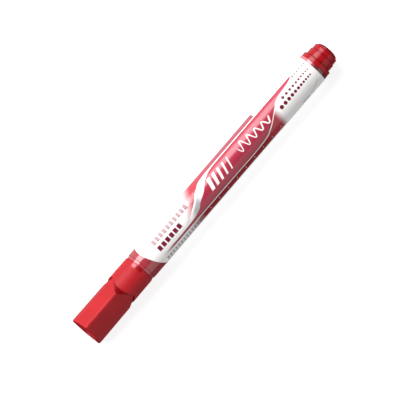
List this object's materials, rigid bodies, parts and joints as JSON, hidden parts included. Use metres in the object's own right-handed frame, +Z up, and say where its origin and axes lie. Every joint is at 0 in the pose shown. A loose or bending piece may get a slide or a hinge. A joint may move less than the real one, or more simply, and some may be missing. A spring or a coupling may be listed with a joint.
{
  "type": "whiteboard marker",
  "caption": "Capped liquid-ink whiteboard marker with a faceted three-ridged vented cap, translucent tank barrel, printed sleeve and stepped rear plug.",
  "frame": {"origin": "bottom centre of the bounding box: on the surface that the capped marker lies on, below its middle", "axes": "+X along the marker from the cap's closed end to the rear plug, +Z up through one ridge of the cap, +Y across"},
  "size_m": [0.138, 0.0132, 0.0138],
  "materials": {
    "cap": "moulded polypropylene, satin gloss",
    "seal_cup": "soft moulded polyethylene",
    "nib": "bonded fibre soaked with red ink",
    "holder": "moulded polypropylene, glossy",
    "barrel": "translucent red moulded polypropylene, glossy",
    "label": "printed film, glossy",
    "plug": "moulded polypropylene, glossy",
    "wick": "bundled capillary fibre",
    "buffer": "porous fibre",
    "bulkhead": "moulded polypropylene",
    "ink": "liquid ink, modelled as a solid"
  },
  "bodies": {
    "barrel": {"barrel_tank": "barrel", "label_sleeve": "label", "rear_plug": "plug", "nib_holder": "holder", "writing_nib": "nib", "feed_wick": "wick", "capillary_buffer": "buffer", "tank_bulkhead": "bulkhead", "ink_fill": "ink"},
    "cap": {"cap_shell": "cap", "cap_seal_cup": "seal_cup"}
  },
  "joints": [
    {"name": "cap_pull", "type": "slide", "parent": "barrel", "child": "cap", "axis": [-1, 0, 0], "range_m": [0, 0.035]}
  ]
}
